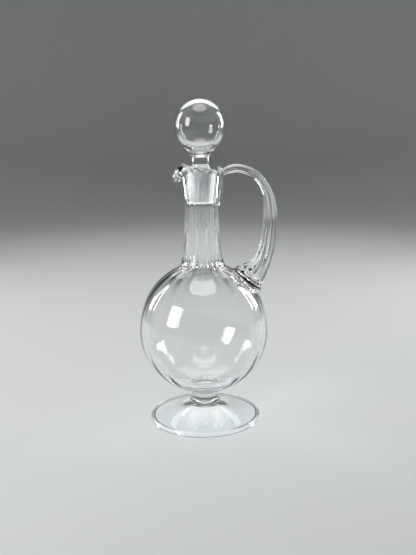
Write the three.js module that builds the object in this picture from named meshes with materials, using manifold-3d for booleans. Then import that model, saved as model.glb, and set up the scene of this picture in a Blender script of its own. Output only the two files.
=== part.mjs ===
// Glass jug with a ball stopper: a blown bottle on a stem and foot, with an applied handle.
// Millimetres, +Z up. The jug stands on Z = 0, its handle points to +X and its spout to -X.
import * as THREE from 'three';
import { LoftGeometry } from 'three/addons/geometries/LoftGeometry.js';
import { mergeVertices } from 'three/addons/utils/BufferGeometryUtils.js';
import Module from 'manifold-3d';

const wasm = await Module();
wasm.setup();

// Facets round the jug, two to each soft rib of the blown glass
const ribCount = 20;
const ribDepth = 0.35;
const facets = 2 * ribCount;

// Clearances
const fusedGap = 0.3;
const groundGap = 0.15;

// Foot
const footRadius = 50.5;
const footRimThickness = 4;
const restRingOuter = 49.2;
const restRingInner = 47.8;
const footHeight = 14.6;
const footNeckRadius = 12.4;
const footHollowHeight = 9.5;
const pontilRadius = 8.5;
const pontilDepth = 0.8;

// Collar and stem between the foot and the globe
const collarRadius = 14.05;
const collarHeight = 5.4;
const stemRadius = 12.0;
const stemWaistRadius = 11.6;
const stemHeight = 5.6;

// Globe
const globeRadius = 58;
const globeLowerHeight = 58.3;
const globeUpperHeight = 61;
const globeWall = 5;
const globeSink = 0.5;

// Neck
const shoulderRadius = 21.4;
const shoulderArm = 5.7;
const neckWaistRadius = 14.1;
const neckLength = 51.5;
const neckWaistArm = 19.8;
const neckTaper = 0.055;
const neckBoreRadius = 10.2;
const throatRadius = 17;
const throatRise = 15;
const throatArm = 8;

// Mouth
const lipBaseRadius = 15.3;
const lipBaseRise = 15.5;
const lipWidth = 16.2;
const rimRadius = 15;
const rimRise = 17;
const rimTilt = 3.3;
const rimBead = 0.9;
const spoutReach = 24.6;
const spoutCrownRise = 3.4;
const spoutCurl = 14;
const spoutFall = 16.6;
const spoutSpread = 0.72;

// Ground socket and peg
const pegLength = 27;
const pegTopRadius = 9.15;
const pegTaper = 0.05;
const pegTopDepth = 3;
const socketTopDepth = 5.8;

// Stopper
const stopperNeckRadius = 7.3;
const stopperNeckLength = 10.1;
const ballRadius = 22.4;
const ballLowerHeight = 23.8;
const ballWall = 2.8;
const ballBottomWall = 5.4;
const ballCentreRise = 28.3;
const ballFlareRadius = 15.5;
const ballFlareRise = 3.2;
const blowHoleRadius = 1.6;

// Handle
const padAngle = THREE.MathUtils.degToRad(47);
const padHalfLength = 15.9;
const padHalfWidth = 13;
const padThickness = 3;
const padSlope = 0.095;
const handleReach = 60.4;
const archDrop = 1.6;
const archHalfThickness = 3.4;
const sideSwell = 2.3;
const rootFlare = 9.4;
const rootFlareLength = 13;
const rootCover = 0.96;
const rootSeat = 5;
const strapSpread = 1.12;
const reedCount = 10;
const reedDepth = 0.07;
const tabThickness = 2.5;
const tabHalfWidth = 5.2;
const tabLength = 30.4;
const nubRise = 3.4;
const bowEndDrop = 2.2;

// Heights that follow from the sizes above
const collarBottom = footHeight;
const stemBottom = collarBottom + collarHeight;
const bottleBottom = stemBottom + stemHeight;
const globeCentre = bottleBottom + globeSink + globeLowerHeight;
const shoulderHeight = globeCentre + globeUpperHeight * Math.sqrt(1 - (shoulderRadius / globeRadius) ** 2);
const neckWaistHeight = globeCentre + globeUpperHeight + neckLength;
const lipBaseHeight = neckWaistHeight + lipBaseRise;
const rimHeight = lipBaseHeight + rimRise;
const pegTop = rimHeight - pegTopDepth;
const pegBottom = pegTop - pegLength;
const socketTop = rimHeight - socketTopDepth;
const socketBottom = pegBottom - 1;
const stopperSplit = pegTop + stopperNeckLength;
const ballCentre = stopperSplit + ballCentreRise;
const pegRadiusAt = (height) => pegTopRadius - pegTaper * (pegTop - height);

// Curves in the (radius, height) plane
const point = (radius, height) => new THREE.Vector2(radius, height);
const curvePoints = (curve, steps, first = 0) => curve.getPoints(steps).slice(first);
const arc = (centreHeight, radius, height, from, to, steps) => {
  const ellipse = new THREE.EllipseCurve(0, centreHeight, radius, height, from, to, to < from);
  return ellipse.getPoints(steps);
};

// A ring of points round the jug's axis, and a closed skin through a list of rings
const ring = (shape) => {
  const points = [];
  for (let i = 0; i < facets; i++) {
    const angle = (i / facets) * 2 * Math.PI;
    const { x: radius, y: height } = shape(angle, i);
    points.push(new THREE.Vector3(radius * Math.cos(angle), radius * Math.sin(angle), height));
  }
  return points;
};
const onAxis = (height) => ring(() => point(0, height));
const closedSkin = (rings, capped) => {
  const loft = new LoftGeometry(rings, { capStart: capped, capEnd: capped });
  return new THREE.BufferGeometry().copy(loft);
};
const lofted = (sections) => closedSkin(sections, true);
const turnedRings = (rings, bottom, top) => closedSkin([onAxis(bottom), ...rings, onAxis(top)], false);
const turned = (outline) => {
  const rings = outline.map((place) => ring(() => place));
  return turnedRings(rings, outline[0].y, outline.at(-1).y);
};

// Solids for cutting and joining
const toSolid = (geometry) => {
  geometry.deleteAttribute('normal');
  geometry.deleteAttribute('uv');
  const merged = mergeVertices(geometry, 1e-3);
  const mesh = new wasm.Mesh({
    numProp: 3,
    vertProperties: new Float32Array(merged.attributes.position.array),
    triVerts: new Uint32Array(merged.index.array),
  });
  return new wasm.Manifold(mesh);
};
const toGeometry = (solid) => {
  const mesh = solid.getMesh();
  const geometry = new THREE.BufferGeometry();
  geometry.setAttribute('position', new THREE.BufferAttribute(mesh.vertProperties, 3));
  geometry.setIndex(new THREE.BufferAttribute(mesh.triVerts, 1));
  geometry.computeVertexNormals();
  return geometry;
};

// Ribs are full on the globe and the neck and die away at the shoulder of the ground socket
const ribbed = (place, grow) => (angle, i) => {
  const fade = THREE.MathUtils.smoothstep(neckWaistHeight - place.y, 0, 12);
  const start = THREE.MathUtils.smoothstep(place.y, bottleBottom + 2, bottleBottom + 12);
  const rib = i % 2 === 0 ? ribDepth / 2 : -ribDepth / 2;
  return point(place.x + grow + rib * fade * start, place.y);
};

// Outside of the bottle from its seat on the stem up to the base of the lip
const bottleOutside = (grow) => {
  const seat = [point(stemRadius, bottleBottom), point(stemRadius + 0.3, bottleBottom + 1.2)];
  const radius = globeRadius;
  const lowerStart = -Math.acos((1.5 * stemRadius) / radius);
  const upperEnd = Math.acos(shoulderRadius / radius);
  const lower = arc(globeCentre, radius, globeLowerHeight, lowerStart, 0, 8);
  const upper = arc(globeCentre, radius, globeUpperHeight, 0, upperEnd, 8);
  const slope = (globeUpperHeight / radius) / Math.tan(upperEnd);
  const tangent = point(-1, slope).normalize().multiplyScalar(shoulderArm);
  const shoulder = point(shoulderRadius, shoulderHeight);
  const waist = point(neckWaistRadius, neckWaistHeight);
  const neck = new THREE.CubicBezierCurve(
    shoulder,
    shoulder.clone().add(tangent),
    point(neckWaistRadius + neckTaper * neckWaistArm, neckWaistHeight - neckWaistArm),
    waist,
  );
  const lipBase = point(lipBaseRadius, lipBaseHeight);
  const collar = new THREE.QuadraticBezierCurve(
    waist,
    point(neckWaistRadius - 0.25 * neckTaper * lipBaseRise, neckWaistHeight + 0.25 * lipBaseRise),
    lipBase,
  );
  const outline = [
    ...seat,
    ...lower,
    ...upper.slice(1),
    ...curvePoints(neck, 6, 1),
    ...curvePoints(collar, 3, 1),
  ];
  const heights = outline.map((place) => {
    const bottomLift = place.y < globeCentre ? -grow : 0;
    return point(place.x, place.y + bottomLift);
  });
  return heights.map((place) => ring(ribbed(place, grow)));
};

// The lip is plain on most of its way round and turns over into the spout at the -X side
const spoutShare = (angle) => Math.exp(-(((angle - Math.PI) / spoutSpread) ** 2));
const rimAt = (angle) => rimHeight - rimTilt * Math.cos(angle);
const mixed = (plain, spout, share) => plain.clone().lerp(spout, share);

// The spout's fold, each point given as how far back from its reach and how far down from its crown it lies
const foldUnderside = [
  [0.543, 0.916],
  [0.486, 0.681],
  [0.407, 0.392],
  [0.36, 0.602],
  [0.475, 0.873],
  [0.3, 1],
  [0.093, 0.976],
];
const foldTopside = [
  [0.007, 0.849],
  [0.021, 0.596],
  [0.129, 0.386],
  [0.329, 0.175],
  [0.571, 0.024],
  [0.8, 0.048],
  [1, 0.277],
];
const foldPoint = ([back, down]) => {
  return point(spoutReach - back * spoutCurl, rimHeight + spoutCrownRise - down * spoutFall);
};

const lipUnderside = (angle, t, grow) => {
  const lipBase = point(lipBaseRadius, lipBaseHeight);
  const plain = new THREE.QuadraticBezierCurve(
    lipBase,
    point(lipWidth + rimBead / 3, lipBaseHeight + 0.6 * rimRise),
    point(lipWidth - rimBead / 2, rimAt(angle) - rimBead),
  ).getPoint(t);
  const fold = new THREE.SplineCurve([lipBase, ...foldUnderside.map(foldPoint)]).getPoint(t);
  const place = mixed(plain, fold, spoutShare(angle));
  return point(place.x + grow, place.y + grow * t);
};

const lipTopside = (angle, t) => {
  const rim = rimAt(angle);
  const socketEdge = point(pegRadiusAt(socketTop) + groundGap, socketTop);
  const plain = new THREE.QuadraticBezierCurve(
    point(rimRadius, rim),
    point(rimRadius - 2.6 * rimBead, rim - 0.8 * rimBead),
    socketEdge,
  ).getPoint(t);
  const fold = new THREE.SplineCurve([...foldTopside.map(foldPoint), socketEdge]).getPoint(t);
  return mixed(plain, fold, spoutShare(angle));
};

const steps = (count) => Array.from({ length: count }, (_, i) => (i + 1) / count);

function bottle() {
  const outside = bottleOutside(0);
  const underside = steps(14).map((t) => ring((angle) => lipUnderside(angle, t, 0)));
  const topside = [0, ...steps(8)].map((t) => ring((angle) => lipTopside(angle, t)));
  const socketRadius = pegRadiusAt(socketBottom) + groundGap;
  const inner = globeRadius - globeWall;
  const innerUpper = globeUpperHeight - globeWall + 0.5;
  const innerLower = globeLowerHeight - globeWall - 1;
  const innerEnd = Math.acos(throatRadius / inner);
  const shoulder = arc(globeCentre, inner, innerUpper, innerEnd, 0, 6);
  const slope = (innerUpper / inner) / Math.tan(innerEnd);
  const tangent = point(-1, slope).normalize().multiplyScalar(0.6 * throatArm);
  const neckStart = shoulder[0].y + throatRise;
  const throat = new THREE.CubicBezierCurve(
    point(neckBoreRadius, neckStart),
    point(neckBoreRadius, neckStart - throatArm),
    shoulder[0].clone().add(tangent),
    shoulder[0],
  );
  const bore = [
    point(socketRadius, socketBottom),
    point(0.92 * neckBoreRadius, socketBottom - 0.5 * throatArm),
    point(neckBoreRadius, socketBottom - throatArm),
    ...throat.getPoints(4),
    ...shoulder.slice(1),
    ...arc(globeCentre, inner, innerLower, 0, -Math.acos(0.15), 7).slice(1),
  ];
  const inside = bore.map((place) => ring(ribbed(place, 0)));
  const rings = [...outside, ...underside, ...topside, ...inside];
  return turnedRings(rings, bottleBottom, bore.at(-1).y);
}

// The bottle's outside grown by the fused gap, which trims what is pressed on to it
function bottleEnvelope() {
  const outside = bottleOutside(fusedGap);
  const underside = steps(14).map((t) => ring((angle) => lipUnderside(angle, t, fusedGap)));
  const edge = ring((angle) => lipTopside(angle, 0).add(point(0, fusedGap)));
  return toSolid(turnedRings([...outside, ...underside, edge], bottleBottom - fusedGap, rimHeight + fusedGap));
}

function foot() {
  const slope = new THREE.CubicBezierCurve(
    point(footRadius - 2, footRimThickness),
    point(0.6 * footRadius, footRimThickness + 1.4),
    point(footNeckRadius + 4, footHeight - 5),
    point(footNeckRadius, footHeight),
  );
  const hollow = new THREE.CubicBezierCurve(
    point(pontilRadius, footHollowHeight),
    point(1.9 * pontilRadius, 0.6 * footHollowHeight),
    point(0.63 * restRingInner, 0.23 * footHollowHeight),
    point(restRingInner, 0),
  );
  return turned([
    point(pontilRadius - pontilDepth, footHollowHeight + pontilDepth),
    ...curvePoints(hollow, 6),
    point(restRingOuter, 0),
    point(footRadius - 0.6, 0.25 * footRimThickness),
    point(footRadius, 0.5 * footRimThickness),
    point(footRadius - 0.6, 0.8 * footRimThickness),
    ...curvePoints(slope, 7),
  ]);
}

function stemCollar() {
  const bulge = collarRadius - footNeckRadius;
  return turned([
    point(footNeckRadius, collarBottom),
    point(footNeckRadius + 0.75 * bulge, collarBottom + 0.15 * collarHeight),
    point(collarRadius, collarBottom + 0.45 * collarHeight),
    point(footNeckRadius + 0.8 * bulge, collarBottom + 0.8 * collarHeight),
    point(stemRadius, stemBottom),
  ]);
}

function stem() {
  return turned([
    point(stemRadius, stemBottom),
    point(stemWaistRadius, stemBottom + 0.35 * stemHeight),
    point(stemWaistRadius + 0.1, stemBottom + 0.7 * stemHeight),
    point(stemRadius, bottleBottom),
  ]);
}

// Pad: an oval gather of glass on the globe's shoulder, under the root of the handle
const padRadius = globeRadius * Math.cos(padAngle);
const padHeight = globeCentre + globeUpperHeight * Math.sin(padAngle);
const padNormal = new THREE.Vector3(Math.cos(padAngle) / globeRadius, 0, Math.sin(padAngle) / globeUpperHeight);
padNormal.normalize();
const padDown = new THREE.Vector3(padNormal.z, 0, -padNormal.x);
const padCentre = new THREE.Vector3(padRadius, 0, padHeight);
const padSides = 32;

function padSolid(grow) {
  const levels = [
    [0.86, -0.5],
    [0.97, -0.1],
    [1, 0.35],
    [0.97, 0.75],
    [0.9, 1],
  ];
  const rings = levels.map(([size, level]) => {
    const points = [];
    for (let i = 0; i < padSides; i++) {
      const angle = (i / padSides) * 2 * Math.PI;
      const along = (padHalfLength * size + grow) * Math.cos(angle);
      const across = (padHalfWidth * size + grow) * Math.sin(angle);
      const sunk = globeWall * Math.min(level, 0);
      const raised = (padThickness + padSlope * along) * Math.max(level, 0);
      const out = sunk * 2 + raised + (level > 0 ? grow : 0);
      const place = padCentre.clone();
      place.addScaledVector(padDown, along).addScaledVector(padNormal, out);
      place.y += across;
      points.push(place);
    }
    return points;
  });
  return toSolid(lofted(rings));
}

// Bow of the handle: a reeded rod, thick where it leaves the pad and thin over the arch
const tabRadius = lipWidth + fusedGap + tabThickness / 2;
const tabTop = rimAt(0) - 0.4;
const archHeight = rimHeight - archDrop;
const bowShape = [
  [0.49, 0.11, padRadius],
  [0.81, 0.26, padRadius],
  [0.95, 0.42, padRadius],
  [1, 0.63, padRadius],
  [0.925, 0.8, tabRadius],
  [0.7, 0.94, tabRadius],
  [0.36, 1, tabRadius],
  [0.145, 0.988, tabRadius],
];

function bowSolid() {
  const line = new THREE.CatmullRomCurve3(
    [
      padCentre.clone().addScaledVector(padNormal, 0.55 * padThickness),
      ...bowShape.map(([reach, rise, from]) => {
        const x = from + reach * (handleReach - from);
        return new THREE.Vector3(x, 0, padHeight + rise * (archHeight - padHeight));
      }),
      new THREE.Vector3(tabRadius + 0.3, 0, tabTop - bowEndDrop),
    ],
    false,
    'centripetal',
  );
  const length = line.getLength();
  const stations = 24;
  const sides = 4 * reedCount;
  const rootPoint = (angle) => {
    const along = rootCover * padHalfLength * Math.cos(angle);
    const place = padCentre.clone().addScaledVector(padDown, along);
    place.addScaledVector(padNormal, 0.5 * (padThickness + padSlope * along));
    place.y += rootCover * padHalfWidth * Math.sin(angle);
    return place;
  };
  const rings = [];
  for (let i = 0; i <= stations; i++) {
    const t = (i / stations) ** 1.15;
    const centre = line.getPointAt(t);
    const tangent = line.getTangentAt(t);
    const outward = new THREE.Vector3(tangent.z, 0, -tangent.x);
    const seated = 1 - THREE.MathUtils.smoothstep(t * length, 0, rootSeat);
    const swell = sideSwell * (1 - THREE.MathUtils.smoothstep(t, 0.42, 0.74));
    const half = archHalfThickness + swell + rootFlare * Math.exp((-t * length) / rootFlareLength);
    const spread = strapSpread * (archHalfThickness + swell) + 0.55 * (half - archHalfThickness - swell);
    const points = [];
    for (let j = 0; j < sides; j++) {
      const angle = (j / sides) * 2 * Math.PI;
      const reed = 1 + reedDepth * Math.cos(reedCount * angle);
      const place = centre.clone().addScaledVector(outward, half * reed * Math.cos(angle));
      place.y += spread * reed * Math.sin(angle);
      points.push(place.lerp(rootPoint(angle), seated));
    }
    rings.push(points);
  }
  return toSolid(lofted(rings));
}

// Tab of the handle: the strap's end, folded over at the lip and pressed down the neck
function tabSolid() {
  const sides = 20;
  const levels = [
    [-tabLength, 0.3, 0.35, 0.2],
    [-tabLength + 1, 0.62, 0.7, 0.1],
    [-tabLength + 3.5, 0.95, 0.9, -0.1],
    [-tabLength * 0.55, 1, 1, 0],
    [-tabLength * 0.25, 1, 1.05, 0],
    [-1, 1.15, 1, 0],
    [1.2, 1.1, 0.85, -0.8],
    [nubRise, 1.1, 0.7, -1.2],
    [nubRise + 1, 0.5, 0.4, -1.3],
  ];
  const rings = levels.map(([rise, thick, wide, outward]) => {
    const height = tabTop + rise;
    const below = Math.max(lipBaseHeight - height, 0);
    const lean = ((lipWidth - neckWaistRadius) * below) / lipBaseRise;
    const points = [];
    for (let i = 0; i < sides; i++) {
      const angle = (i / sides) * 2 * Math.PI;
      const x = tabRadius + outward - Math.min(lean, lipWidth - neckWaistRadius);
      const out = 0.5 * (tabThickness + 1) * thick * Math.cos(angle);
      const place = new THREE.Vector3(x + out - 0.3, tabHalfWidth * wide * Math.sin(angle), height);
      points.push(place);
    }
    return points;
  });
  return toSolid(lofted(rings));
}

function stopperPeg() {
  const flare = new THREE.CubicBezierCurve(
    point(pegTopRadius, pegTop),
    point(pegTopRadius - 0.6, pegTop + 3),
    point(stopperNeckRadius, pegTop + 3),
    point(stopperNeckRadius, pegTop + 0.62 * stopperNeckLength),
  );
  return turned([
    point(pegRadiusAt(pegBottom) - 0.7, pegBottom),
    point(pegRadiusAt(pegBottom), pegBottom + 0.7),
    ...curvePoints(flare, 6),
    point(stopperNeckRadius + 0.1, stopperSplit),
  ]);
}

function stopperBall() {
  const lowerStart = -Math.acos(ballFlareRadius / ballRadius);
  const shell = [
    ...arc(ballCentre, ballRadius, ballLowerHeight, lowerStart, 0, 6),
    ...arc(ballCentre, ballRadius, ballRadius, 0, 0.96 * (Math.PI / 2), 6).slice(1),
  ];
  const throat = new THREE.QuadraticBezierCurve(
    point(stopperNeckRadius + 0.1, stopperSplit),
    point(stopperNeckRadius + 0.1, stopperSplit + ballFlareRise),
    shell[0],
  );
  const outline = [...curvePoints(throat, 4), ...shell.slice(1)];
  const inner = ballRadius - ballWall;
  const bubble = [
    ...arc(ballCentre, inner, inner, 0.95 * (Math.PI / 2), 0, 5),
    ...arc(ballCentre, inner, ballLowerHeight - ballBottomWall, 0, -Math.acos(blowHoleRadius / inner), 6).slice(1),
  ];
  const solidBall = toSolid(turned([point(blowHoleRadius + 1, stopperSplit), ...outline]));
  const hollow = [point(blowHoleRadius, stopperSplit - 1), ...bubble.reverse()];
  return toGeometry(solidBall.subtract(toSolid(turned(hollow))));
}

function handleParts() {
  const envelope = bottleEnvelope();
  const pad = padSolid(0).subtract(envelope);
  const strap = bowSolid().add(tabSolid());
  const handle = strap.subtract(padSolid(fusedGap)).subtract(envelope);
  return { pad: toGeometry(pad), handle: toGeometry(handle) };
}

// Finishes: clear blown glass, and the matt ground glass of the peg
const clearGlass = () => new THREE.MeshStandardMaterial({ color: 0xdfe6e8, roughness: 0.03, metalness: 0 });
const groundGlass = () => new THREE.MeshStandardMaterial({ color: 0xe6e9ea, roughness: 0.55, metalness: 0 });

const jug = new THREE.Group();
const addPiece = (name, geometry, material) => {
  const mesh = new THREE.Mesh(geometry, material);
  mesh.name = name;
  jug.add(mesh);
};

const { pad, handle } = handleParts();
addPiece('foot', foot(), clearGlass());
addPiece('stem_collar', stemCollar(), clearGlass());
addPiece('stem', stem(), clearGlass());
addPiece('bottle', bottle(), clearGlass());
addPiece('handle_pad', pad, clearGlass());
addPiece('handle', handle, clearGlass());
addPiece('stopper_peg', stopperPeg(), groundGlass());
addPiece('stopper_ball', stopperBall(), clearGlass());

// The origin is under the middle of the jug's box, so the jug's own axis stands a little to its left
const handleEnd = handleReach + (archHalfThickness + sideSwell) * (1 + reedDepth);
jug.position.x = -(handleEnd - globeRadius) / 2;

export default jug;
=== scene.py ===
# Clear glass jug with a hollow ball stopper, dressed in the order in which it is put together.
# Sizes are in millimetres until a mesh is made; heights are above the surface that the jug stands on.
import math

import bpy
import numpy as np
from mathutils import Matrix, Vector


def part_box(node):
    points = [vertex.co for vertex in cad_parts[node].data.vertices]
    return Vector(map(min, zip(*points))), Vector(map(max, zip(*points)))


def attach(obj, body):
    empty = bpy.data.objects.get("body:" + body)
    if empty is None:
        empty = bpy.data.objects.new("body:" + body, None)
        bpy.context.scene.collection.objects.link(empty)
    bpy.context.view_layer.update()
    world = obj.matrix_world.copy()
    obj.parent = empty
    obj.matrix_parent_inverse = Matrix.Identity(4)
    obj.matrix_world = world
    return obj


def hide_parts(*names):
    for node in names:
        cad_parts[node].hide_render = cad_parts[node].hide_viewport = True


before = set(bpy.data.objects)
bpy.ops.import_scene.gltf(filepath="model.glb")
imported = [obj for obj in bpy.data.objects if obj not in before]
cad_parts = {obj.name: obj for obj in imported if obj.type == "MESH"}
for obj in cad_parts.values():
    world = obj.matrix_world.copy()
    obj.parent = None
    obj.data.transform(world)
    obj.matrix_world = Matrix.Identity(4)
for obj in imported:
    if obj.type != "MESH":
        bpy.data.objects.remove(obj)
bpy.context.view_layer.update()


# Foot: a gather of clear soda glass spun out into a disc with a rounded rim. It stands on a narrow
# ring under the rim, and the scar of the pontil rod in its hollow underside is ground and polished.
millimetre = 0.001
foot_low, foot_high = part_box("foot")
axis_x = 0.5 * (foot_low.x + foot_high.x) / millimetre
foot_radius = 50.5
foot_rim_thickness = 4.0
rim_top_inset = 2.0
rim_rounding = 0.1
rest_ring_outer = 49.2
rest_ring_inner = 47.8
rim_bead_rise = 1.9
rim_bead_width = 1.5
foot_height = 14.6
foot_neck_radius = 12.4
foot_neck_fillet = 1.6
foot_flare_reach = 7.5
foot_flare_drop = 5.4
foot_neck_drop = 1.2
foot_hollow_height = 11.2
hollow_flare_reach = 4.6
hollow_top_drop = 0.2
hollow_edge_lift = 1.2
pontil_radius = 8.5
pontil_depth = 0.8
glass_tint = (0.990, 0.995, 0.993, 1.0)
ground_tint = (0.875, 0.885, 0.88, 1.0)
ground_shade = (0.5, 0.52, 0.53, 1.0)
lamplight_through = (0.86, 0.88, 0.88, 1.0)
glass_bends_light = 1.5
crease_angle = math.radians(48)
pole_radius = 0.5
turned_columns = 240
clear, welded, ground = 0, 1, 2


def bezier(controls, count):
    """Points of a Bezier curve: neighbouring controls are blended again and again until one is left.
    A control is one (radius, height), or an array of them with one for each column."""
    level = np.broadcast_arrays(*[np.array(place, float) for place in controls])
    t = np.linspace(0.0, 1.0, count).reshape((count,) + (1,) * level[0].ndim)
    while len(level) > 1:
        level = [a + (b - a) * t for a, b in zip(level, level[1:])]
    return level[0]


def outline(*stretches):
    """Stretches of (points, finish) joined end to end.
    Each point's finish is that of the faces that lead up to it."""
    places = [np.array(stretches[0][0], float)]
    finish = [np.full(len(places[0]), stretches[0][1])]
    for points, kind in stretches[1:]:
        points = np.array(points, float)
        points = points[1:] if np.allclose(points[0], places[-1][-1]) else points
        places.append(points)
        finish.append(np.full(len(points), kind))
    return np.concatenate(places), np.concatenate(finish)


def rings_round(radius, height, columns=turned_columns):
    """Rings about the jug's axis: x and y are the radius times the cosine and sine of a column's angle."""
    angle = np.linspace(0.0, 2.0 * np.pi, columns, endpoint=False)
    radius, height = np.broadcast_arrays(radius, height, np.empty((len(radius), columns)))[:2]
    return np.stack([axis_x + radius * np.cos(angle), radius * np.sin(angle), height], axis=-1)


def closed_skin(name, rings, finish):
    """A closed glass skin: quads between neighbouring rings, and a fan at each end to the ring's middle.
    finish holds one material number per face of each band: the first fan, the bands, the last fan."""
    rows, columns, _ = rings.shape
    ends = [rings[0].mean(axis=0), rings[-1].mean(axis=0)]
    points = millimetre * np.concatenate([rings.reshape(-1, 3), ends])
    here = np.arange(rows * columns).reshape(rows, columns)
    after = np.roll(here, -1, axis=1)
    first = np.full(columns, rows * columns)
    quads = np.stack([here[:-1], after[:-1], after[1:], here[1:]], axis=-1).reshape(-1, 4)
    fan_in = np.stack([after[0], here[0], first], axis=-1)
    fan_out = np.stack([here[-1], after[-1], first + 1], axis=-1)
    mesh = bpy.data.meshes.new(name)
    mesh.from_pydata(points.tolist(), [], fan_in.tolist() + quads.tolist() + fan_out.tolist())
    bands = np.broadcast_to(np.asarray(finish).reshape(rows + 1, -1), (rows + 1, columns))
    mesh.polygons.foreach_set("material_index", bands.reshape(-1).astype(np.int32))
    mesh.polygons.foreach_set("use_smooth", np.ones(len(mesh.polygons), bool))
    mesh.set_sharp_from_angle(angle=crease_angle)
    for glass in glass_finishes:
        mesh.materials.append(glass)
    mesh.update()
    piece = bpy.data.objects.new(name, mesh)
    bpy.context.scene.collection.objects.link(piece)
    return piece


def turned_finish(finish):
    """The finish of each band of a turned outline: the first point's fan, the steps, the last fan."""
    return np.concatenate([finish[:1], finish[1:], finish[-1:]])


def add_node(material, kind, **inputs):
    """A shader node with its sockets set: a value goes in as it is, another node's socket is linked."""
    tree = material.node_tree
    node = tree.nodes.new(kind)
    for name, value in inputs.items():
        socket = node.inputs[name.replace("_", " ")]
        if isinstance(value, bpy.types.NodeSocket):
            tree.links.new(value, socket)
        else:
            socket.default_value = value
    return node


def empty_material(name):
    """A new material with no nodes in it."""
    material = bpy.data.materials.new(name)
    material.use_nodes = True
    material.node_tree.nodes.clear()
    return material


def stretched_place(material, scale):
    """Object coordinates, stretched by a scale along each axis."""
    place = add_node(material, "ShaderNodeTexCoord")
    mapping = add_node(material, "ShaderNodeMapping", Vector=place.outputs["Object"], Scale=scale)
    return mapping.outputs["Vector"]


def let_lamps_through(material, shader):
    """Joins the glass shader to the output, with a clear film instead for rays that look for a lamp."""
    path = add_node(material, "ShaderNodeLightPath")
    film = add_node(material, "ShaderNodeBsdfTransparent", Color=lamplight_through)
    mix = add_node(material, "ShaderNodeMixShader", Fac=path.outputs["Is Shadow Ray"])
    links = material.node_tree.links
    links.new(shader.outputs["BSDF"], mix.inputs[1])
    links.new(film.outputs["BSDF"], mix.inputs[2])
    add_node(material, "ShaderNodeOutputMaterial", Surface=mix.outputs["Shader"])


def make_clear_glass():
    """Fire-polished blown glass: slow wavers, finer tool marks, and a polish that varies a little."""
    material = empty_material("clear_glass")
    wavers = add_node(
        material,
        "ShaderNodeTexNoise",
        Vector=stretched_place(material, (1.0, 1.0, 0.5)),
        Scale=48.0,
        Detail=1.0,
        Roughness=0.4,
    )
    marks = add_node(
        material,
        "ShaderNodeTexNoise",
        Vector=stretched_place(material, (1.0, 1.0, 0.25)),
        Scale=310.0,
        Detail=2.0,
    )
    slow = add_node(
        material,
        "ShaderNodeBump",
        Strength=0.3,
        Distance=0.0006,
        Height=wavers.outputs["Fac"],
    )
    fine = add_node(
        material,
        "ShaderNodeBump",
        Strength=0.06,
        Distance=0.00012,
        Height=marks.outputs["Fac"],
        Normal=slow.outputs["Normal"],
    )
    polish = add_node(
        material,
        "ShaderNodeMapRange",
        Value=wavers.outputs["Fac"],
        From_Min=0.3,
        From_Max=0.7,
        To_Min=0.0,
        To_Max=0.03,
    )
    glass = add_node(
        material,
        "ShaderNodeBsdfPrincipled",
        Base_Color=glass_tint,
        Roughness=polish.outputs["Result"],
        IOR=glass_bends_light,
        Transmission_Weight=1.0,
        Normal=fine.outputs["Normal"],
    )
    let_lamps_through(material, glass)
    return material


def make_ground_glass():
    """Glass ground matt with grit: whitish and rough, with streaks, faint rings and a mottled bite."""
    material = empty_material("ground_glass")
    grit = add_node(
        material,
        "ShaderNodeTexNoise",
        Vector=stretched_place(material, (1.0, 1.0, 9.0)),
        Scale=420.0,
        Detail=3.0,
    )
    mottle = add_node(
        material,
        "ShaderNodeTexNoise",
        Vector=stretched_place(material, (1.0, 1.0, 0.35)),
        Scale=160.0,
        Detail=2.0,
    )
    streaks = add_node(
        material,
        "ShaderNodeTexNoise",
        Vector=stretched_place(material, (1.0, 1.0, 0.06)),
        Scale=800.0,
        Detail=2.5,
    )
    colour = add_node(material, "ShaderNodeValToRGB", Fac=streaks.outputs["Fac"])
    colour.color_ramp.elements[0].position = 0.36
    colour.color_ramp.elements[0].color = ground_shade
    colour.color_ramp.elements[1].position = 0.62
    colour.color_ramp.elements[1].color = ground_tint
    bite = add_node(
        material,
        "ShaderNodeMapRange",
        Value=mottle.outputs["Fac"],
        From_Min=0.3,
        From_Max=0.7,
        To_Min=0.36,
        To_Max=0.56,
    )
    bump = add_node(
        material,
        "ShaderNodeBump",
        Strength=0.5,
        Distance=0.00006,
        Height=grit.outputs["Fac"],
    )
    glass = add_node(
        material,
        "ShaderNodeBsdfPrincipled",
        Base_Color=colour.outputs["Color"],
        Roughness=bite.outputs["Result"],
        IOR=glass_bends_light,
        Transmission_Weight=0.6,
        Normal=bump.outputs["Normal"],
    )
    let_lamps_through(material, glass)
    return material


def make_weld():
    """The face where two gathers were fused: no surface is left, so it passes all light straight on."""
    material = empty_material("fused_joint")
    film = add_node(material, "ShaderNodeBsdfTransparent", Color=(1.0, 1.0, 1.0, 1.0))
    add_node(material, "ShaderNodeOutputMaterial", Surface=film.outputs["BSDF"])
    return material


glass_finishes = [make_clear_glass(), make_weld(), make_ground_glass()]

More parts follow.
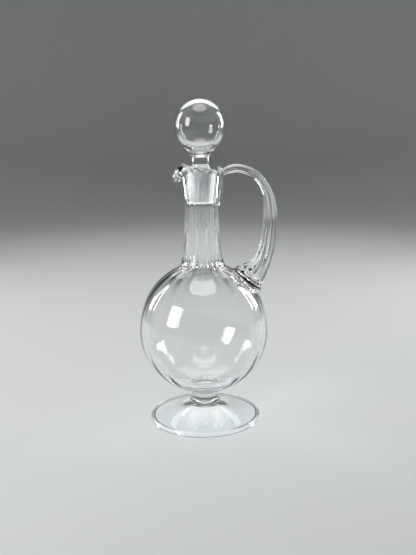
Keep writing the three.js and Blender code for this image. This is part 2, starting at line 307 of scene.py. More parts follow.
pontil_edge = (pontil_radius, foot_hollow_height)
pontil_floor = foot_hollow_height + pontil_depth
hollow = bezier(
    [
        pontil_edge,
        (foot_neck_radius + foot_neck_fillet, foot_hollow_height - hollow_top_drop),
        (foot_neck_radius + hollow_flare_reach, 0.48 * foot_hollow_height),
        (0.65 * rest_ring_inner, rim_bead_rise + hollow_edge_lift),
        (rest_ring_inner - rim_bead_width, rim_bead_rise),
    ],
    48,
)
bead = bezier(
    [
        (rest_ring_inner - rim_bead_width, rim_bead_rise),
        (rest_ring_inner - 0.8 * rim_bead_width, 0.4 * rim_bead_rise),
        (rest_ring_inner - 0.6 * rim_bead_width, 0.0),
        (rest_ring_inner, 0.0),
    ],
    12,
)
rim_top = (foot_radius - rim_top_inset, foot_rim_thickness)
rim = bezier(
    [
        (rest_ring_outer, 0.0),
        (foot_radius - rim_rounding, rim_rounding),
        (foot_radius + 1.5 * rim_rounding, 0.5 * foot_rim_thickness),
        (foot_radius - rim_rounding, foot_rim_thickness + 2.0 * rim_rounding),
        rim_top,
    ],
    24,
)
slope = bezier(
    [
        rim_top,
        (0.6 * foot_radius, 1.4 * foot_rim_thickness),
        (foot_neck_radius + foot_flare_reach, foot_height - foot_flare_drop),
        (foot_neck_radius + foot_neck_fillet, foot_height - foot_neck_drop),
        (foot_neck_radius, foot_height),
    ],
    60,
)
pontil_mark = bezier([(pole_radius, pontil_floor), (0.7 * pontil_radius, pontil_floor), pontil_edge], 16)
places, finish = outline(
    (pontil_mark, clear),
    (hollow, clear),
    (bead, clear),
    ([(rest_ring_inner, 0.0), (rest_ring_outer, 0.0)], clear),
    (rim, clear),
    (slope, clear),
    ([(foot_neck_radius, foot_height), (pole_radius, foot_height)], welded),
)
foot = closed_skin("foot_glass", rings_round(places[:, :1], places[:, 1:]), turned_finish(finish))
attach(foot, "jug")
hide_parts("foot")


# Collar: a ring of soda glass wound hot round the joint between foot and stem.
# It is rounded in the fire and fused to both.
collar_radius = 14.05
collar_height = 5.4
collar_bulge = 0.5
collar_top_inset = 0.35
stem_radius = 12.0
collar_bottom = foot_height
stem_bottom = collar_bottom + collar_height
collar_side = bezier(
    [
        (foot_neck_radius, collar_bottom),
        (collar_radius, collar_bottom),
        (collar_radius + collar_bulge, collar_bottom + 0.45 * collar_height),
        (collar_radius - collar_top_inset, collar_bottom + 0.9 * collar_height),
        (stem_radius, stem_bottom),
    ],
    36,
)
places, finish = outline(
    ([(pole_radius, collar_bottom), (foot_neck_radius, collar_bottom)], welded),
    (collar_side, clear),
    ([(stem_radius, stem_bottom), (pole_radius, stem_bottom)], welded),
)
collar = closed_skin("collar_glass", rings_round(places[:, :1], places[:, 1:]), turned_finish(finish))
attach(collar, "jug")
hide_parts("stem_collar")


# Stem: a short waisted post of solid soda glass that carries the globe.
# It is drawn out hot and fused to the collar below and to the globe above.
stem_waist_below = 11.3
stem_waist_above = 11.4
stem_height = 5.6
bottle_bottom = stem_bottom + stem_height
stem_side = bezier(
    [
        (stem_radius, stem_bottom),
        (stem_waist_below, stem_bottom + 0.35 * stem_height),
        (stem_waist_above, stem_bottom + 0.7 * stem_height),
        (stem_radius, bottle_bottom),
    ],
    24,
)
places, finish = outline(
    ([(pole_radius, stem_bottom), (stem_radius, stem_bottom)], welded),
    (stem_side, clear),
    ([(stem_radius, bottle_bottom), (pole_radius, bottle_bottom)], welded),
)
stem = closed_skin("stem_glass", rings_round(places[:, :1], places[:, 1:]), turned_finish(finish))
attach(stem, "jug")
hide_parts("stem")


# Bottle: globe, neck and lip of clear soda glass, blown as one bubble in a ribbed mould, so that soft
# upright ribs run round its inside and, more faintly, its outside. The lip is turned over into a spout
# on the -X side, and the mouth is ground to a tapered socket for the stopper.
rib_count = 20
globe_rib_outside = 0.04
globe_rib_inside = 0.11
neck_rib_outside = 0.17
neck_rib_inside = 0.3
rib_change_below_shoulder = 16.0
rib_change_above_shoulder = 6.0
outer_ribs_start = 2.0
outer_ribs_full = 12.0
ribs_start_under_socket = 2.0
ribs_full_under_socket = 26.0
inner_ribs_kept_down = 0.6
inner_ribs_gone_down = 0.98
bottle_columns = 200
swirl_pitch = 4.2
swirl_depth = 0.1
swirl_full_radius = 22.0
swirl_end_radius = 36.0
seat_radius = 18.0
seat_rise = 1.7
seat_arm = 3.2
seat_splay = 0.2
globe_lift = 0.5
globe_radius = 58.0
globe_lower_height = 58.3
globe_upper_height = 61.0
globe_wall = 5.0
globe_top_wall = 4.5
globe_bottom_wall = 6.0
globe_centre = bottle_bottom + globe_lift + globe_lower_height
shoulder_radius = 21.4
shoulder_arm = 5.7
neck_waist_radius = 14.1
neck_waist_rise = 51.5
neck_waist_height = globe_centre + globe_upper_height + neck_waist_rise
neck_waist_arm = 19.8
neck_taper = 0.055
neck_bore_radius = 10.2
throat_radius = 17.0
throat_rise = 15.0
throat_arm = 8.0
lip_base_radius = 15.3
lip_base_rise = 15.5
lip_base_height = neck_waist_height + lip_base_rise
lip_width = 16.2
rim_bead = 0.9
rim_radius = 15.0
rim_rise = 17.0
rim_tilt = 3.3
rim_height = lip_base_height + rim_rise
spout_reach = 24.6
spout_crown_rise = 3.4
spout_curl = 14.0
spout_fall = 16.6
spout_spread = 0.72
peg_top_radius = 9.15
peg_taper = 0.05
peg_length = 27.0
peg_top_drop = 3.0
peg_top = rim_height - peg_top_drop
peg_bottom = peg_top - peg_length
peg_reach_out = 0.5
ground_gap = 0.15
ground_mouth_rows = 6
socket_top_drop = 5.8
socket_top = rim_height - socket_top_drop
socket_bottom = peg_bottom + peg_reach_out
ledge_height = 1.6
ledge_step = 0.25
ledge_rounding = 0.9
ledge_slope_drop = 0.7
ledge_foot_arm = 0.35


def oval_arc(radius, height, start, end, count):
    """Points of an oval about the globe's centre: radius times cosine out, height times sine up."""
    angle = np.linspace(start, end, count)
    return np.stack([radius * np.cos(angle), globe_centre + height * np.sin(angle)], axis=-1)


def smooth_step(value, low, high):
    """0 below low, 1 above high, and between them three squares less two cubes of the share of the way."""
    t = np.clip((value - low) / (high - low), 0.0, 1.0)
    return t * t * (3.0 - 2.0 * t)


def smooth_through(controls, steps):
    """A Catmull-Rom curve through a row of control points, for every column at once: a cubic between each
    two, whose slope at a point is half the step from the point before it to the point after it."""
    ahead = 2.0 * controls[:1] - controls[1:2]
    behind = 2.0 * controls[-1:] - controls[-2:-1]
    p = np.concatenate([ahead, controls, behind])
    t = np.linspace(0.0, 1.0, steps, endpoint=False).reshape((1, steps) + (1,) * (controls.ndim - 1))
    a, b, c, d = (p[i : len(p) - 3 + i, None] for i in range(4))
    bend = 2 * b + (c - a) * t + (2 * a - 5 * b + 4 * c - d) * t**2 + (3 * b - a - 3 * c + d) * t**3
    return np.concatenate([0.5 * bend.reshape((-1,) + controls.shape[1:]), controls[-1:]])


angle = np.linspace(0.0, 2.0 * np.pi, bottle_columns, endpoint=False)
rib_wave = np.cos(rib_count * angle)

lower_start = -math.acos(seat_radius / globe_radius)
upper_end = math.acos(shoulder_radius / globe_radius)
lower_arc = oval_arc(globe_radius, globe_lower_height, lower_start, 0.0, 50)
upper_arc = oval_arc(globe_radius, globe_upper_height, 0.0, upper_end, 50)
seat_pull = np.array([-globe_radius * math.sin(lower_start), globe_lower_height * math.cos(lower_start)])
seat_pull *= seat_arm / np.linalg.norm(seat_pull)
seat = bezier(
    [
        (stem_radius, bottle_bottom),
        (stem_radius + seat_splay, bottle_bottom + seat_rise),
        lower_arc[0] - seat_pull,
        lower_arc[0],
    ],
    10,
)
shoulder_pull = np.array([-1.0, (globe_upper_height / globe_radius) / math.tan(upper_end)])
shoulder_pull *= shoulder_arm / np.linalg.norm(shoulder_pull)
neck = bezier(
    [
        upper_arc[-1],
        upper_arc[-1] + shoulder_pull,
        (neck_waist_radius + neck_taper * neck_waist_arm, neck_waist_height - neck_waist_arm),
        (neck_waist_radius, neck_waist_height),
    ],
    38,
)
lip_base = (lip_base_radius, lip_base_height)
swell = bezier(
    [
        neck[-1],
        (neck_waist_radius - 0.25 * neck_taper * lip_base_rise, neck_waist_height + 0.25 * lip_base_rise),
        lip_base,
    ],
    12,
)
outside, outside_finish = outline(
    (
        [(pole_radius, bottle_bottom), (0.5 * stem_radius, bottle_bottom), (stem_radius, bottle_bottom)],
        welded,
    ),
    (seat, clear),
    (lower_arc, clear),
    (upper_arc, clear),
    (neck, clear),
    (swell, clear),
)
shoulder_height = upper_arc[-1, 1]


def rib_depth(height, on_globe, on_neck):
    """Depth of the ribs at a height: one on the globe, another on the neck, a smooth step between them."""
    above = height - shoulder_height
    share_of_neck = smooth_step(above, -rib_change_below_shoulder, rib_change_above_shoulder)
    return on_globe + (on_neck - on_globe) * share_of_neck


outer_rib = rib_depth(outside[:, 1], globe_rib_outside, neck_rib_outside)
outer_rib = outer_rib * smooth_step(outside[:, 1] - bottle_bottom, outer_ribs_start, outer_ribs_full)
outer_rib = outer_rib * smooth_step(lip_base_height - outside[:, 1], 0.0, lip_base_rise)
outside_radius = outside[:, :1] + outer_rib[:, None] * rib_wave
outside_height = np.broadcast_to(outside[:, 1:], outside_radius.shape)

# Lip and spout: the plain rim's profile and the folded spout's profile, blended by how near each column
# is to the spout. A fold point says how far back from its reach and how far down from its crown it lies.
fold = np.array(
    [
        (0.543, 0.916),
        (0.486, 0.681),
        (0.407, 0.392),
        (0.36, 0.602),
        (0.475, 0.873),
        (0.3, 1.0),
        (0.093, 0.976),
        (0.007, 0.849),
        (0.021, 0.596),
        (0.129, 0.386),
        (0.329, 0.175),
        (0.571, 0.024),
        (0.8, 0.048),
        (1.0, 0.277),
    ]
)
spout_crown = rim_height + spout_crown_rise
fold = np.stack([spout_reach - spout_curl * fold[:, 0], spout_crown - spout_fall * fold[:, 1]], axis=-1)
socket_edge = (peg_top_radius - peg_taper * (peg_top - socket_top) + ground_gap, socket_top)
rim_at = rim_height - rim_tilt * np.cos(angle)


def around(radius, height):
    """One (radius, height) for every column."""
    return np.stack(np.broadcast_arrays(radius, height, angle)[:2], axis=-1)


plain_under = bezier(
    [
        around(*lip_base),
        around(lip_width + rim_bead / 3, lip_base_height + 0.6 * rim_rise),
        around(lip_width - rim_bead / 2, rim_at - rim_bead),
    ],
    8,
)
plain_over = bezier(
    [
        around(rim_radius, rim_at),
        around(rim_radius - 2.6 * rim_bead, rim_at - 0.8 * rim_bead),
        around(*socket_edge),
    ],
    8,
)
plain = np.concatenate([plain_under[1:], plain_over[:-1]])
share = np.exp(-(((angle - np.pi) / spout_spread) ** 2))[None, :, None]
blended = plain * (1.0 - share) + fold[:, None, :] * share
lip = smooth_through(np.concatenate([plain_under[:1], blended, plain_over[-1:]]), 6)[1:]
lip_finish = np.where(np.arange(len(lip)) < len(lip) - ground_mouth_rows, clear, ground)

inner_radius = globe_radius - globe_wall
inner_upper = globe_upper_height - globe_top_wall
inner_lower = globe_lower_height - globe_bottom_wall
inner_end = math.acos(throat_radius / inner_radius)
inner_shoulder = oval_arc(inner_radius, inner_upper, inner_end, 0.0, 44)
throat_pull = np.array([-1.0, (inner_upper / inner_radius) / math.tan(inner_end)])
throat_pull *= 0.6 * throat_arm / np.linalg.norm(throat_pull)
neck_start = inner_shoulder[0, 1] + throat_rise
socket_radius = peg_top_radius - peg_taper * (peg_top - socket_bottom) + ground_gap
socket_end = (socket_radius, socket_bottom)
ledge_end = (neck_bore_radius - ledge_step, socket_bottom - ledge_height)
bore_top = (neck_bore_radius, socket_bottom - throat_arm)
bore_bottom = (neck_bore_radius, neck_start)
ledge = bezier(
    [
        socket_end,
        (socket_radius, socket_bottom - ledge_rounding),
        (neck_bore_radius - ledge_rounding, socket_bottom - ledge_slope_drop),
        ledge_end,
    ],
    12,
)
under_ledge = bezier(
    [
        ledge_end,
        (neck_bore_radius, socket_bottom - ledge_height - ledge_foot_arm),
        (neck_bore_radius, socket_bottom - 0.5 * throat_arm),
        bore_top,
    ],
    12,
)
throat = bezier(
    [
        bore_bottom,
        (neck_bore_radius, neck_start - throat_arm),
        inner_shoulder[0] + throat_pull,
        inner_shoulder[0],
    ],
    20,
)
inside, inside_finish = outline(
    (bezier([socket_edge, socket_end], 16), ground),
    (ledge, ground),
    (under_ledge, clear),
    (bezier([bore_top, bore_bottom], 20), clear),
    (throat, clear),
    (inner_shoulder, clear),
    (oval_arc(inner_radius, inner_lower, 0.0, -math.acos(0.008), 110), clear),
)
inside, inside_finish = inside[1:], inside_finish[1:]
inner_rib = rib_depth(inside[:, 1], globe_rib_inside, neck_rib_inside)
inner_rib = inner_rib * smooth_step(
    socket_bottom - inside[:, 1], ribs_start_under_socket, ribs_full_under_socket
)
share_up = (inside[:, 1] - globe_centre) / inner_lower
inner_rib = inner_rib * smooth_step(share_up, -inner_ribs_gone_down, -inner_ribs_kept_down)
inside_radius = inside[:, :1] + inner_rib[:, None] * rib_wave
swirl_fade = 1.0 - smooth_step(inside[:, 0], swirl_full_radius, swirl_end_radius)
swirl = swirl_depth * swirl_fade * np.sin(2.0 * np.pi * inside[:, 0] / swirl_pitch)
swirl = np.where(inside[:, 1] < globe_centre, swirl, 0.0)
inside_height = np.broadcast_to(inside[:, 1:] + swirl[:, None], inside_radius.shape)
radius = np.concatenate([outside_radius, lip[..., 0], inside_radius])
height = np.concatenate([outside_height, lip[..., 1], inside_height])
finish = np.concatenate([outside_finish, lip_finish, inside_finish])
bottle_rings = rings_round(radius, height, bottle_columns)

# Under the handle's pad the globe has no surface of its own, because the pad is fused to it there.
pad_angle = math.radians(47)
pad_half_length = 15.9
pad_half_width = 13.0
pad_bed_share = 0.93
pad_bed_depth = 6.0
pad_radius = globe_radius * math.cos(pad_angle)
pad_rise = globe_upper_height * math.sin(pad_angle)
pad_centre = np.array([axis_x + pad_radius, 0.0, globe_centre + pad_rise])
pad_normal = np.array([pad_radius / globe_radius**2, 0.0, pad_rise / globe_upper_height**2])
pad_normal /= np.linalg.norm(pad_normal)
pad_down = np.array([pad_normal[2], 0.0, -pad_normal[0]])
pad_across = np.array([0.0, 1.0, 0.0])


def pad_place(points):
    """Where points lie from the pad's middle: shares of its half length and width, and how far out."""
    away = points - pad_centre
    along = away @ pad_down / pad_half_length
    across = away @ pad_across / pad_half_width
    return along, across, away @ pad_normal


bands = np.repeat(turned_finish(finish)[:, None], bottle_columns, axis=1)
middles = 0.5 * (bottle_rings[:-1] + bottle_rings[1:])
middles = 0.5 * (middles + np.roll(middles, -1, axis=1))
along, across, out = pad_place(middles[: len(outside) - 1])
under_pad = (along**2 + across**2 < pad_bed_share**2) & (out > -pad_bed_depth)
bands[1 : len(outside)][under_pad] = welded
bottle = closed_skin("bottle_glass", bottle_rings, bands)
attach(bottle, "jug")
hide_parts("bottle")


# Pad: an oval gather of soda glass laid hot on the globe's shoulder and fused to it.
# Its edge is crimped, and the handle's root is pressed on to its top.
pad_thickness = 3.0
pad_slope = 0.095
pad_edge_share = 0.95
pad_flat_share = 0.93
pad_middle_share = 0.03
pad_crown = 0.9
pad_sunk = 0.25
root_weld_share = 0.86
crimp_count = 26
crimp_depth = 0.22
crimp_share = 0.012
pad_columns = 208


def pad_surface(size, turn, out):
    """Points at a share of the pad's size and a turn about its middle: a flat oval, dropped along the pad's
    normal on to the globe, where a quadratic is zero, and then lifted by the height out."""
    along = pad_half_length * size * np.cos(turn)
    across = pad_half_width * size * np.sin(turn)
    flat = pad_centre + along[..., None] * pad_down + across[..., None] * pad_across
    centre = np.array([axis_x, 0.0, globe_centre])
    squash = np.array([globe_radius, globe_radius, globe_upper_height])
    start, pull = (flat - centre) / squash, pad_normal / squash
    a, b, c = pull @ pull, start @ pull, (start**2).sum(axis=-1) - 1.0
    drop = (-b + np.sqrt(np.maximum(b * b - a * c, 0.0))) / a
    return flat + (drop + out)[..., None] * pad_normal


def pad_height(size):
    """Height of the pad's top at a share of its size: its thickness plus its slope times the way along."""
    return pad_thickness + pad_slope * pad_half_length * size * np.cos(turn)


turn = np.linspace(0.0, 2.0 * np.pi, pad_columns, endpoint=False)
crimp_wave = np.cos(crimp_count * turn)
crimp = crimp_depth * crimp_wave
under_sizes = np.linspace(pad_middle_share, pad_edge_share, 16)
edge_turns = np.linspace(-0.5 * np.pi, 0.5 * np.pi, 16)[1:]
over_sizes = np.linspace(pad_flat_share, pad_middle_share, 18)
pad_rings = [pad_surface(size, turn, np.full_like(turn, -pad_sunk)) for size in under_sizes]
for edge in edge_turns:
    size = pad_edge_share + (1.0 - pad_edge_share + crimp_share * crimp_wave) * math.cos(edge)
    climb = 0.5 * (1.0 + math.sin(edge))
    pad_rings.append(pad_surface(size, turn, climb * (pad_height(1.0) + crimp)))
for size in over_sizes:
    rise = pad_height(size) + pad_crown * (1.0 - (size / pad_edge_share) ** 2)
    pad_rings.append(pad_surface(size, turn, rise + crimp * (size / pad_edge_share) ** 8))
pad_rings = np.array(pad_rings)
pad_finish = np.concatenate(
    [
        np.full(len(under_sizes), welded),
        np.full(len(edge_turns), clear),
        np.where(over_sizes < root_weld_share, welded, clear),
        [welded],
    ]
)
pad = closed_skin("handle_pad_glass", pad_rings, pad_finish)
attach(pad, "jug")
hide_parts("handle_pad")


# Handle: a reeded rod of soda glass pulled up from the pad, looped over and brought back to the lip, where
# its end is folded down and pressed on to the neck as a tab, with a small knob left at the fold.
handle_reach = 60.3
handle_rings = 230
handle_columns = 200
root_crowding = 1.15
arch_drop = 1.6
arch_half = 3.4
side_swell = 2.3
side_swell_kept_to = 0.42
side_swell_gone_by = 0.74
root_flare = 9.4
root_flare_length = 13.0
root_spread = 0.55
root_height_share = 0.55
root_cover = 0.96
root_sunk_share = 0.97
root_seat = 5.0
strap_spread = 1.12
reed_count = 8
reed_depth_at_ends = 0.075
reed_depth_at_side = 0.13
side_reeds_start = 0.08
side_reeds_full = 0.3
side_reeds_kept_to = 0.68
side_reeds_gone_by = 0.88
bow_end_drop = 2.2
bow_end_taper = 0.3
bow_end_start = 0.93
tab_thickness = 2.5
tab_pressed_in = 1.0
tab_half_width = 5.2
tab_length = 30.4
tab_sunk = 0.4
tab_gap = 0.3
tab_columns = 96
nub_rise = 3.4
tab_radius = lip_width + tab_gap + tab_thickness / 2
tab_top = rim_height - rim_tilt - tab_sunk
pad_top = pad_centre[2]
arch_height = rim_height - arch_drop

# A point of the bow: shares of the way out to the handle's reach and up to its arch, and where out starts.
bow = np.array(
    [
        (0.49, 0.11, pad_radius),
        (0.81, 0.26, pad_radius),
        (0.95, 0.42, pad_radius),
        (1.0, 0.63, pad_radius),
        (0.925, 0.8, tab_radius),
        (0.7, 0.94, tab_radius),
        (0.36, 1.0, tab_radius),
        (0.145, 0.988, tab_radius),
    ]
)
bow_out = axis_x + bow[:, 2] + bow[:, 0] * (handle_reach - bow[:, 2])
bow_up = pad_top + bow[:, 1] * (arch_height - pad_top)
bow_start = (pad_centre + root_height_share * pad_thickness * pad_normal)[[0, 2]]
bow_end = [axis_x + tab_radius + tab_gap, tab_top - bow_end_drop]
bow_line = np.vstack([bow_start, np.stack([bow_out, bow_up], axis=-1), bow_end])


def centripetal(points, steps):
    """A centripetal Catmull-Rom curve: a cubic between each two points, with its slopes from the steps to
    their neighbours, over knots that lie as far apart as the square roots of those steps."""
    p = np.vstack([2 * points[0] - points[1], points, 2 * points[-1] - points[-2]])
    stretch = np.linalg.norm(np.diff(p, axis=0), axis=1) ** 0.5
    before, own, next_one = (stretch[i : len(stretch) - 2 + i, None, None] for i in range(3))
    a, b, c, d = (p[i : len(p) - 3 + i, None, :] for i in range(4))
    leave = ((b - a) / before - (c - a) / (before + own) + (c - b) / own) * own
    arrive = ((c - b) / own - (d - b) / (own + next_one) + (d - c) / next_one) * own
    t = np.linspace(0.0, 1.0, steps, endpoint=False)[None, :, None]
    square = (3 * (c - b) - 2 * leave - arrive) * t**2
    cube = (2 * (b - c) + leave + arrive) * t**3
    return np.vstack([(b + leave * t + square + cube).reshape(-1, 2), points[-1]])


path = centripetal(bow_line, 60)
travelled = np.concatenate([[0.0], np.cumsum(np.linalg.norm(np.diff(path, axis=0), axis=1))])
length = travelled[-1]
share_along = np.linspace(0.0, 1.0, handle_rings) ** root_crowding
centre = np.stack([np.interp(share_along * length, travelled, path[:, i]) for i in range(2)], axis=-1)
heading = np.gradient(centre, share_along * length, axis=0)
heading /= np.linalg.norm(heading, axis=1)[:, None]
seated = 1.0 - smooth_step(share_along * length, 0.0, root_seat)
swell_along = side_swell * (1.0 - smooth_step(share_along, side_swell_kept_to, side_swell_gone_by))
taper_along = 1.0 - bow_end_taper * smooth_step(share_along, bow_end_start, 1.0)
flare_along = root_flare * np.exp(-share_along * length / root_flare_length)
half = taper_along * (arch_half + swell_along + flare_along)
spread = strap_spread * (arch_half + swell_along) + root_spread * (half - arch_half - swell_along)
turn = np.linspace(0.0, 2.0 * np.pi, handle_columns, endpoint=False)
on_side = smooth_step(share_along, side_reeds_start, side_reeds_full)
on_side = on_side * (1.0 - smooth_step(share_along, side_reeds_kept_to, side_reeds_gone_by))
reed_depth = reed_depth_at_ends + (reed_depth_at_side - reed_depth_at_ends) * on_side
reed = 1.0 + reed_depth[:, None] * (2.0 * np.abs(np.sin(0.5 * reed_count * turn)) - 1.0)
outward = half[:, None] * reed * np.cos(turn)
sideways = spread[:, None] * reed * np.sin(turn)
strap = np.stack(
    [
        centre[:, 0, None] + heading[:, 1, None] * outward,
        sideways,
        centre[:, 1, None] - heading[:, 0, None] * outward,
    ],
    axis=-1,
)
root_along = root_cover * pad_half_length * np.cos(turn)
root_across = root_cover * pad_half_width * np.sin(turn)
root = pad_centre + root_along[:, None] * pad_down + root_across[:, None] * pad_across
root = root + (0.5 * (pad_thickness + pad_slope * root_along))[:, None] * pad_normal
strap = strap + (root - strap) * seated[:, None, None]
along, across, out = pad_place(0.5 * (strap[:-1] + strap[1:]))
in_pad = out < pad_thickness + pad_slope * pad_half_length * along
in_pad &= along**2 + across**2 < root_sunk_share**2
bands = np.full((len(strap) + 1, handle_columns), clear)
bands[1:-1][in_pad] = welded
bands[0] = welded
handle = closed_skin("handle_glass", strap, bands)

# A level of the tab: height over the tab's top, shares of its thickness and half width, and how far out.
tab_levels = np.array(
    [
        (-tab_length, 0.3, 0.35, 0.2),
        (-tab_length + 1.0, 0.62, 0.7, 0.1),
        (-tab_length + 3.5, 0.95, 0.9, -0.1),
        (-0.55 * tab_length, 1.0, 1.0, 0.0),
        (-0.25 * tab_length, 1.0, 1.05, 0.0),
        (-1.0, 1.15, 1.0, 0.0),
        (1.2, 1.1, 0.85, -0.8),
        (nub_rise, 1.1, 0.7, -1.2),
        (nub_rise + 1.0, 0.5, 0.4, -1.3),
    ]
)
level = smooth_through(tab_levels, 10)
turn = np.linspace(0.0, 2.0 * np.pi, tab_columns, endpoint=False)
tab_height = tab_top + level[:, 0]
share_down = np.clip((lip_base_height - tab_height) / lip_base_rise, 0.0, 1.0)
lean = (lip_width - neck_waist_radius) * share_down
tab_out = axis_x + tab_radius + level[:, 3] - lean - tab_gap
tab_half_thickness = 0.5 * (tab_thickness + tab_pressed_in) * level[:, 1]
tab_rings = np.stack(
    [
        tab_out[:, None] + tab_half_thickness[:, None] * np.cos(turn),
        (tab_half_width * level[:, 2])[:, None] * np.sin(turn),
        np.broadcast_to(tab_height[:, None], (len(level), tab_columns)),
    ],
    axis=-1,
)
neck_top = np.vstack([outside[len(outside) // 2 :], plain_under[1:, 0]])
neck_wall = np.interp(tab_rings[..., 2], neck_top[:, 1], neck_top[:, 0]) + tab_gap
from_axis = np.hypot(tab_rings[..., 0] - axis_x, tab_rings[..., 1])
push = np.where(tab_rings[..., 2] < rim_height - rim_tilt, np.maximum(neck_wall - from_axis, 0.0), 0.0)
tab_rings[..., 0] += push
tab = closed_skin("tab", tab_rings, np.full(len(tab_rings) + 1, clear))
join = handle.modifiers.new("fold", "BOOLEAN")
join.operation = "UNION"
join.solver = "EXACT"
join.object = tab
shape = bpy.data.meshes.new_from_object(handle.evaluated_get(bpy.context.evaluated_depsgraph_get()))
handle.modifiers.clear()
handle.data = shape
bpy.data.objects.remove(tab)
shape.polygons.foreach_set("use_smooth", np.ones(len(shape.polygons), bool))
shape.set_sharp_from_angle(angle=crease_angle)
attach(handle, "jug")
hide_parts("handle")


# Peg: the stopper's lower half, of solid soda glass, a plain neck that flares into a plug.
# The plug is ground matt to the taper of the socket, and the neck is fused to the ball.
stopper_columns = 160
stopper_neck_radius = 7.3
stopper_neck_length = 10.1
neck_flare_rise = 3.0
neck_narrow_share = 0.62
neck_join_radius = 7.4
neck_join_drop = 0.8
peg_shoulder_inset = 0.6
peg_rounding = 0.9
peg_edge_inset = 0.1
peg_edge_step = 0.04
stopper_split = peg_top + stopper_neck_length
peg_foot_radius = peg_top_radius - peg_taper * (peg_top - peg_bottom)
peg_foot_edge = (peg_foot_radius - peg_rounding, peg_bottom)
plug_bottom = (peg_foot_radius + peg_edge_step, peg_bottom + peg_rounding)
plug_top = (peg_top_radius, peg_top)
neck_narrow = (stopper_neck_radius, peg_top + neck_narrow_share * stopper_neck_length)
neck_join = (neck_join_radius, stopper_split)
neck_flare = bezier(
    [
        plug_top,
        (peg_top_radius - peg_shoulder_inset, peg_top + neck_flare_rise),
        (stopper_neck_radius, peg_top + neck_flare_rise),
        neck_narrow,
    ],
    24,
)
places, finish = outline(
    ([(pole_radius, peg_bottom), peg_foot_edge], clear),
    (bezier([peg_foot_edge, (peg_foot_radius - peg_edge_inset, peg_bottom), plug_bottom], 8), ground),
    (bezier([plug_bottom, plug_top], 30), ground),
    (neck_flare, clear),
    (bezier([neck_narrow, (stopper_neck_radius, stopper_split - neck_join_drop), neck_join], 12), clear),
    ([neck_join, (pole_radius, stopper_split)], welded),
)
peg_rings = rings_round(places[:, :1], places[:, 1:], stopper_columns)
peg = closed_skin("stopper_peg_glass", peg_rings, turned_finish(finish))
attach(peg, "stopper")
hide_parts("stopper_peg")


# Ball: a hollow ball of soda glass blown on the stopper's neck, with a thick base under its bubble.
# Fine rings lie round the flare by which it leaves the neck.
ball_radius = 22.4
ball_upper_height = 22.35
ball_lower_height = 23.8
ball_wall = 2.8
ball_bottom_wall = 4.2
ball_centre_rise = 28.3
ball_centre = stopper_split + ball_centre_rise
ball_flare_radius = 15.5
ball_flare_rise = 3.2
ball_flatness = 0.92
flare_ring_depth = 0.14
flare_ring_pitch = 2.0
ball_pole_angle = math.acos(0.01)
bubble_bottom_angle = math.acos(0.004)


def ball_arc(radius, height, start, end, count, power=1.0):
    """Points of an oval about the ball's centre: radius times cosine out, height times sine up.
    A power below 1 on both makes the oval squarer, with a flatter pole."""
    angle = np.linspace(start, end, count)
    out, up = np.cos(angle) ** power, np.abs(np.sin(angle)) ** power * np.sign(angle)
    return np.stack([radius * out, ball_centre + height * up], axis=-1)


flare_angle = -math.acos(ball_flare_radius / ball_radius)
lower_ball = ball_arc(ball_radius, ball_lower_height, flare_angle, 0.0, 40)
upper_ball = ball_arc(ball_radius, ball_upper_height, 0.0, ball_pole_angle, 50)
flare = bezier([neck_join, (neck_join_radius, stopper_split + ball_flare_rise), lower_ball[0]], 70)
flare_fade = np.sin(np.linspace(0.0, np.pi, len(flare)))
flare_wave = np.sin(2.0 * np.pi * (flare[:, 1] - stopper_split) / flare_ring_pitch)
flare[:, 0] += flare_ring_depth * flare_fade * flare_wave
places, finish = outline(
    ([(pole_radius, stopper_split), neck_join], welded),
    (flare, clear),
    (lower_ball, clear),
    (upper_ball, clear),
)
ball_rings = rings_round(places[:, :1], places[:, 1:], stopper_columns)
ball = closed_skin("ball_glass", ball_rings, turned_finish(finish))
bubble_radius = ball_radius - ball_wall
bubble_depth = ball_lower_height - ball_bottom_wall
bubble_top = ball_arc(bubble_radius, bubble_radius, ball_pole_angle, 0.0, 44)
bubble_base = ball_arc(bubble_radius, bubble_depth, 0.0, -bubble_bottom_angle, 60, ball_flatness)
bubble = np.concatenate([bubble_top, bubble_base[1:]])
bubble_rings = rings_round(bubble[:, :1], bubble[:, 1:], stopper_columns)
hollow_skin = closed_skin("ball_hollow", bubble_rings, np.full(len(bubble) + 1, clear))
bpy.ops.object.select_all(action="DESELECT")
hollow_skin.select_set(True)
ball.select_set(True)
bpy.context.view_layer.objects.active = ball
bpy.ops.object.join()
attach(ball, "stopper")
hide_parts("stopper_ball")


# Setting: a plain pale floor, painted matt, that sweeps up into a wall all round.
# Soft lamps stand to both sides, above and high behind, and the room itself is dim.
floor_tone = (0.64, 0.65, 0.655, 1.0)
room_tone = (0.95, 0.97, 0.98, 1.0)
room_strength = 0.1
floor_reach = 1500.0
floor_middle_radius = 2.0
floor_columns = 160
sweep_radius = 800.0
wall_radius = floor_reach + sweep_radius
wall_height = 2200.0
sweep = bezier([(floor_reach, 0.0), (wall_radius, 0.0), (wall_radius, sweep_radius)], 40)
floor_line = np.concatenate([[(floor_middle_radius, 0.0)], sweep, [(wall_radius, wall_height)]])
floor_angle = np.linspace(0.0, 2.0 * np.pi, floor_columns, endpoint=False)
floor_points = np.stack(
    [
        floor_line[:, :1] * np.cos(floor_angle),
        floor_line[:, :1] * np.sin(floor_angle),
        np.broadcast_to(floor_line[:, 1:], (len(floor_line), floor_columns)),
    ],
    axis=-1,
)
floor_places = millimetre * floor_points.reshape(-1, 3)
here = np.arange(len(floor_places)).reshape(-1, floor_columns)
after = np.roll(here, -1, axis=1)
floor_quads = np.stack([here[:-1], here[1:], after[1:], after[:-1]], axis=-1).reshape(-1, 4)
floor_mesh = bpy.data.meshes.new("floor")
floor_mesh.from_pydata(floor_places.tolist(), [], floor_quads.tolist() + [here[0].tolist()])
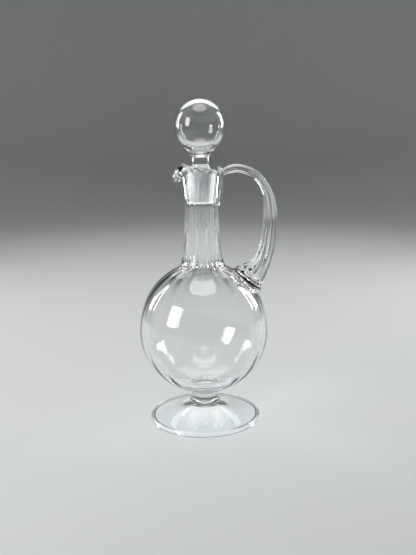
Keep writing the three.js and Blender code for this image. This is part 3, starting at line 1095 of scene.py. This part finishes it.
floor_mesh.polygons.foreach_set("use_smooth", np.ones(len(floor_mesh.polygons), bool))
floor = bpy.data.objects.new("floor", floor_mesh)
bpy.context.scene.collection.objects.link(floor)
floor_material = empty_material("pale_floor")
floor_shader = add_node(floor_material, "ShaderNodeBsdfPrincipled", Base_Color=floor_tone, Roughness=0.7)
add_node(floor_material, "ShaderNodeOutputMaterial", Surface=floor_shader.outputs["BSDF"])
floor_mesh.materials.append(floor_material)

world = bpy.data.worlds.new("studio")
world.use_nodes = True
world.node_tree.nodes["Background"].inputs["Color"].default_value = room_tone
world.node_tree.nodes["Background"].inputs["Strength"].default_value = room_strength
bpy.context.scene.world = world

# A lamp: its name and shape, its place and the point that it faces in metres, its size and its watts.
soft_lamps = [
    ("left_window", "RECTANGLE", (-0.85, -0.5, 0.5), (0.0, 0.0, 0.16), (0.28, 0.56), 4.7),
    ("right_edge", "RECTANGLE", (0.8, 0.5, 0.5), (0.0, 0.0, 0.16), (0.18, 0.6), 3.3),
    ("left_edge", "RECTANGLE", (-0.8, 0.5, 0.5), (0.0, 0.0, 0.16), (0.12, 0.6), 2.2),
    ("overhead", "DISK", (0.0, -0.1, 1.2), (0.0, 0.0, 0.0), (0.8, 0.8), 4.2),
    ("top_back", "RECTANGLE", (0.0, 0.95, 1.15), (0.0, 0.0, 0.15), (1.5, 0.9), 6.5),
]
for name, shape, place, aim, size, watts in soft_lamps:
    lamp = bpy.data.lights.new(name, "AREA")
    lamp.shape = shape
    lamp.size, lamp.size_y = size
    lamp.energy = watts
    lamp_object = bpy.data.objects.new(name, lamp)
    bpy.context.scene.collection.objects.link(lamp_object)
    away = np.array(place) - np.array(aim)
    flat = math.hypot(away[0], away[1])
    lamp_object.location = place
    lamp_object.visible_camera = False
    lamp_object.rotation_euler = (math.atan2(flat, away[2]), 0.0, math.atan2(away[0], -away[1]))


# Camera: as far off, as high and as slightly turned as the photograph's.
# The lens comes from its focal length and the picture's height, both in the photograph's pixels.
picture_height = 555.0
focal_length = 700.0
sensor_height = 36.0
view_down = math.radians(11.404)
view_turn = math.radians(-1.0)
camera_data = bpy.data.cameras.new("camera")
camera_data.sensor_fit = "VERTICAL"
camera_data.sensor_height = sensor_height
camera_data.lens = sensor_height * focal_length / picture_height
camera_data.clip_start = 0.01
camera_data.clip_end = 50.0
camera = bpy.data.objects.new("camera", camera_data)
bpy.context.scene.collection.objects.link(camera)
camera.location = (0.00042, -0.6149, 0.2553)
tilt = Matrix.Rotation(math.pi / 2.0 - view_down, 3, "X")
sideways_turn = Matrix.Rotation(view_turn, 3, "Z")
camera.rotation_mode = "QUATERNION"
camera.rotation_quaternion = (tilt @ sideways_turn).to_quaternion()
bpy.context.scene.camera = camera
bpy.context.scene.view_settings.view_transform = "Standard"
